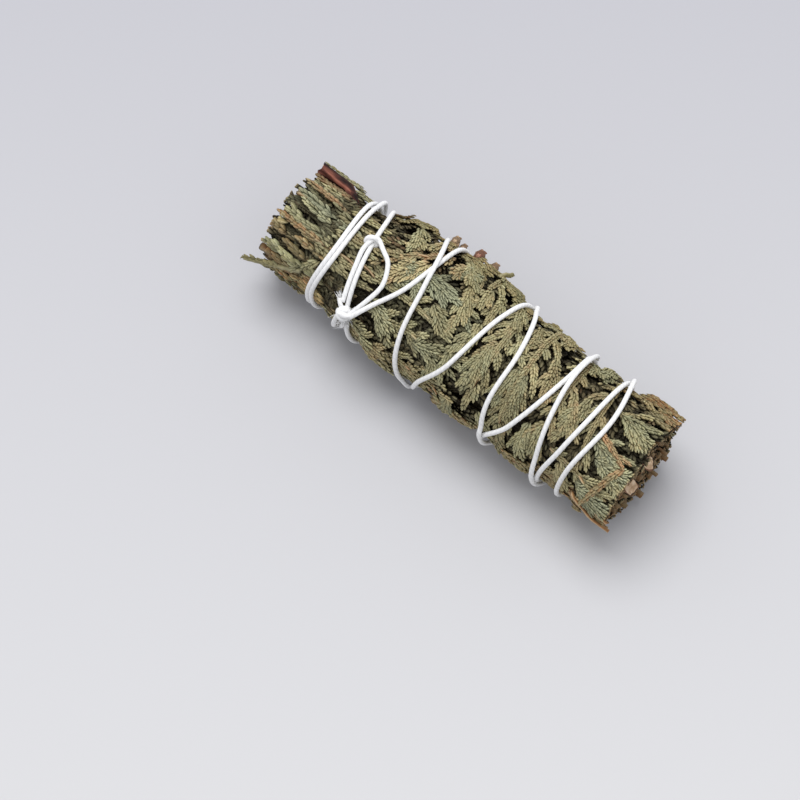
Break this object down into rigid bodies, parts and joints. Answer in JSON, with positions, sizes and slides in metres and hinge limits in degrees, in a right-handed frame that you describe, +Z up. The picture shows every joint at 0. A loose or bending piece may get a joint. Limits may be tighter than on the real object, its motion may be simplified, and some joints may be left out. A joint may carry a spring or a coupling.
{
  "type": "cedar smudge stick",
  "caption": "Bundle of dried cedar sprays and twigs, bound along its length with white cotton string tied in a bow, lying on its side.",
  "frame": {"origin": "on the surface below the middle of the stick's bounding box", "axes": "+X along the stick, from the knotted end to the far end; +Z up, away from the surface it lies on"},
  "size_m": [0.1044, 0.0346, 0.03],
  "materials": {
    "foliage": "matte",
    "inner_foliage": "matte",
    "bark": "matte",
    "bud": "matte",
    "cotton": "matte"
  },
  "bodies": {
    "root": {"outer_spray_01": "foliage", "outer_spray_02": "foliage", "outer_spray_03": "foliage", "outer_spray_04": "foliage", "outer_spray_05": "foliage", "outer_spray_06": "foliage", "outer_spray_07": "foliage", "outer_spray_08": "foliage", "outer_spray_09": "foliage", "outer_spray_10": "foliage", "outer_spray_11": "foliage", "outer_spray_12": "foliage", "outer_spray_13": "foliage", "outer_spray_14": "foliage", "outer_spray_15": "foliage", "outer_spray_16": "foliage", "outer_spray_17": "foliage", "outer_spray_18": "foliage", "outer_spray_19": "foliage", "outer_spray_20": "foliage", "outer_spray_21": "foliage", "outer_spray_22": "foliage", "outer_spray_23": "foliage", "outer_spray_24": "foliage", "outer_spray_25": "foliage", "outer_spray_26": "foliage", "outer_spray_27": "foliage", "outer_spray_28": "foliage", "outer_spray_29": "foliage", "outer_spray_30": "foliage", "outer_spray_31": "foliage", "outer_spray_32": "foliage", "middle_spray_01": "foliage", "middle_spray_02": "foliage", "middle_spray_03": "foliage", "middle_spray_04": "foliage", "middle_spray_05": "foliage", "middle_spray_06": "foliage", "middle_spray_07": "foliage", "middle_spray_08": "foliage", "middle_spray_09": "foliage", "middle_spray_10": "foliage", "inner_spray_1": "inner_foliage", "inner_spray_2": "inner_foliage", "inner_spray_3": "inner_foliage", "inner_spray_4": "inner_foliage", "inner_spray_5": "inner_foliage", "inner_spray_6": "inner_foliage", "inner_spray_7": "inner_foliage", "twig_surface": "bark", "twig_right_upper": "bark", "twig_right_lower": "bark", "twig_left_lower": "bark", "twig_left_back": "bark", "bud_1": "bud", "bud_2": "bud", "bud_3": "bud", "bud_4": "bud", "cotton_string": "cotton"}
  },
  "joints": []
}
